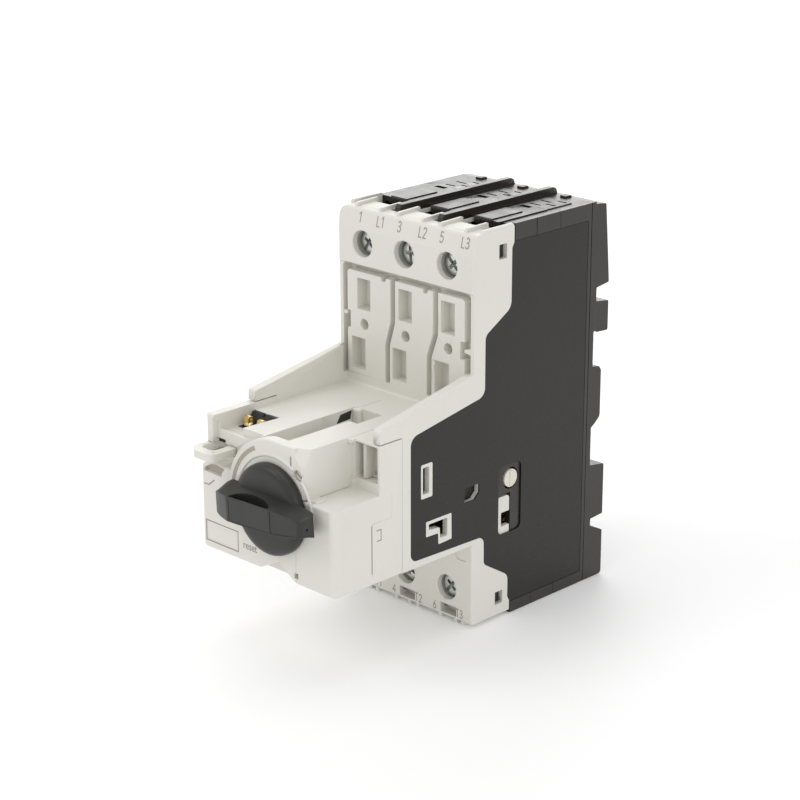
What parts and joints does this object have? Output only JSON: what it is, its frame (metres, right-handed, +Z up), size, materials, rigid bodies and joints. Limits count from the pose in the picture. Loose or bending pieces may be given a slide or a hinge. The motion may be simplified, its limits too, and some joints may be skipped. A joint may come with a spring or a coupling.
{
  "type": "motor protection breaker",
  "caption": "Compact three-pole motor protection breaker base for a 35 mm rail: rotary handle, box terminals, open bay for a plug-in trip block.",
  "frame": {"origin": "middle of the rail seat, on the rail's centreline", "axes": "+X to the right seen from the front, +Y to the back, out of the rail seat, +Z up towards the supply terminals"},
  "size_m": [0.045, 0.1021, 0.1002],
  "materials": {
    "light_plastic": "warm light grey moulded thermoplastic, fine matte texture",
    "dark_plastic": "dark brown-black thermoset, fine matte texture",
    "black_foil": "smooth glossy black film",
    "knob_plastic": "black moulded plastic, satin",
    "zinc_steel": "bright zinc plated steel",
    "copper": "bare copper alloy",
    "gold_pin": "gold plated contact",
    "bare_steel": "plain steel",
    "natural_plastic": "off-white moulded plastic"
  },
  "bodies": {
    "housing": {"rear_base": "dark_plastic", "arc_housing": "dark_plastic", "front_cover": "light_plastic", "side_foil_left": "black_foil", "side_foil_right": "black_foil", "control_housing": "light_plastic", "control_plate": "light_plastic", "right_block": "light_plastic", "aux_window": "light_plastic", "dial_ring": "light_plastic", "connector_socket": "knob_plastic", "contact_pin_1": "gold_pin", "contact_pin_2": "gold_pin", "mechanism_frame": "bare_steel", "rail_latch_spring": "bare_steel", "side_plunger": "natural_plastic", "line_bar_1": "copper", "line_bar_3": "copper", "line_bar_5": "copper", "load_bar_2": "copper", "load_bar_4": "copper", "load_bar_6": "copper", "arc_chute_1": "bare_steel", "arc_chute_2": "bare_steel", "arc_chute_3": "bare_steel", "magnet_coil_1": "copper", "magnet_coil_2": "copper", "magnet_coil_3": "copper"},
    "handle": {"knob": "knob_plastic", "handle_shaft": "bare_steel", "latch_cam": "natural_plastic"},
    "contacts": {"contact_carrier": "natural_plastic", "contact_bridge_1": "copper", "contact_bridge_2": "copper", "contact_bridge_3": "copper"},
    "tripper": {"trip_bar": "natural_plastic"},
    "test_push": {"test_button": "light_plastic"},
    "lock_tongue": {"lock_tab": "light_plastic"},
    "latch": {"rail_latch": "dark_plastic"},
    "screw_1": {"terminal_screw_1": "zinc_steel"},
    "cage_1": {"clamp_1": "zinc_steel"},
    "screw_3": {"terminal_screw_3": "zinc_steel"},
    "cage_3": {"clamp_3": "zinc_steel"},
    "screw_5": {"terminal_screw_5": "zinc_steel"},
    "cage_5": {"clamp_5": "zinc_steel"},
    "screw_2": {"terminal_screw_2": "zinc_steel"},
    "cage_2": {"clamp_2": "zinc_steel"},
    "screw_4": {"terminal_screw_4": "zinc_steel"},
    "cage_4": {"clamp_4": "zinc_steel"},
    "screw_6": {"terminal_screw_6": "zinc_steel"},
    "cage_6": {"clamp_6": "zinc_steel"},
    "plunger_1": {"trip_plunger_1": "bare_steel"},
    "plunger_2": {"trip_plunger_2": "bare_steel"},
    "plunger_3": {"trip_plunger_3": "bare_steel"}
  },
  "joints": [
    {"name": "handle_turn", "type": "hinge", "parent": "housing", "child": "handle", "pos_m": [0.0029, -0.0891, -0.00855], "axis": [0, 1, 0], "range_deg": [0, 90]},
    {"name": "contact_travel", "type": "slide", "parent": "housing", "child": "contacts", "axis": [0, -1, 0], "range_m": [0, 0.0029]},
    {"name": "trip_swing", "type": "hinge", "parent": "housing", "child": "tripper", "pos_m": [0, -0.043, -0.01655], "axis": [1, 0, 0], "range_deg": [0, 12], "stiffness_Nm_per_rad": 0.02, "springref_deg": -5.73},
    {"name": "test_press", "type": "slide", "parent": "housing", "child": "test_push", "axis": [0, 1, 0], "range_m": [0, 0.0012], "stiffness_N_per_m": 300, "springref_m": -0.001},
    {"name": "lock_slide", "type": "slide", "parent": "housing", "child": "lock_tongue", "axis": [0, 1, 0], "range_m": [0, 0.006]},
    {"name": "latch_pull", "type": "slide", "parent": "housing", "child": "latch", "axis": [0, 0, -1], "range_m": [0, 0.0035], "stiffness_N_per_m": 1500, "springref_m": -0.003, "deforming": ["rail_latch_spring"]},
    {"name": "screw_turn_1", "type": "hinge", "parent": "housing", "child": "screw_1", "pos_m": [-0.0141, -0.0396, 0.04225], "axis": [0, 1, 0], "range_deg": [0, 720]},
    {"name": "cage_travel_1", "type": "slide", "parent": "housing", "child": "cage_1", "axis": [0, -1, 0], "range_m": [0, 0.0014]},
    {"name": "screw_turn_3", "type": "hinge", "parent": "housing", "child": "screw_3", "pos_m": [0, -0.0396, 0.04225], "axis": [0, 1, 0], "range_deg": [0, 720]},
    {"name": "cage_travel_3", "type": "slide", "parent": "housing", "child": "cage_3", "axis": [0, -1, 0], "range_m": [0, 0.0014]},
    {"name": "screw_turn_5", "type": "hinge", "parent": "housing", "child": "screw_5", "pos_m": [0.0141, -0.0396, 0.04225], "axis": [0, 1, 0], "range_deg": [0, 720]},
    {"name": "cage_travel_5", "type": "slide", "parent": "housing", "child": "cage_5", "axis": [0, -1, 0], "range_m": [0, 0.0014]},
    {"name": "screw_turn_2", "type": "hinge", "parent": "housing", "child": "screw_2", "pos_m": [-0.0141, -0.0396, -0.0392], "axis": [0, 1, 0], "range_deg": [0, 720]},
    {"name": "cage_travel_2", "type": "slide", "parent": "housing", "child": "cage_2", "axis": [0, -1, 0], "range_m": [0, 0.0014]},
    {"name": "screw_turn_4", "type": "hinge", "parent": "housing", "child": "screw_4", "pos_m": [0, -0.0396, -0.0392], "axis": [0, 1, 0], "range_deg": [0, 720]},
    {"name": "cage_travel_4", "type": "slide", "parent": "housing", "child": "cage_4", "axis": [0, -1, 0], "range_m": [0, 0.0014]},
    {"name": "screw_turn_6", "type": "hinge", "parent": "housing", "child": "screw_6", "pos_m": [0.0141, -0.0396, -0.0392], "axis": [0, 1, 0], "range_deg": [0, 720]},
    {"name": "cage_travel_6", "type": "slide", "parent": "housing", "child": "cage_6", "axis": [0, -1, 0], "range_m": [0, 0.0014]},
    {"name": "plunger_lift_1", "type": "slide", "parent": "housing", "child": "plunger_1", "axis": [0, 0, 1], "range_m": [0, 0.0015], "stiffness_N_per_m": 100, "springref_m": -0.002},
    {"name": "plunger_lift_2", "type": "slide", "parent": "housing", "child": "plunger_2", "axis": [0, 0, 1], "range_m": [0, 0.0015], "stiffness_N_per_m": 100, "springref_m": -0.002},
    {"name": "plunger_lift_3", "type": "slide", "parent": "housing", "child": "plunger_3", "axis": [0, 0, 1], "range_m": [0, 0.0015], "stiffness_N_per_m": 100, "springref_m": -0.002}
  ],
  "couplings": [
    {"joint": "handle_turn", "follows": "contact_travel", "rad_per_m": 541.6},
    {"joint": "screw_turn_1", "follows": "cage_travel_1", "rad_per_m": 8975.9},
    {"joint": "screw_turn_3", "follows": "cage_travel_3", "rad_per_m": 8975.9},
    {"joint": "screw_turn_5", "follows": "cage_travel_5", "rad_per_m": 8975.9},
    {"joint": "screw_turn_2", "follows": "cage_travel_2", "rad_per_m": 8975.9},
    {"joint": "screw_turn_4", "follows": "cage_travel_4", "rad_per_m": 8975.9},
    {"joint": "screw_turn_6", "follows": "cage_travel_6", "rad_per_m": 8975.9}
  ]
}
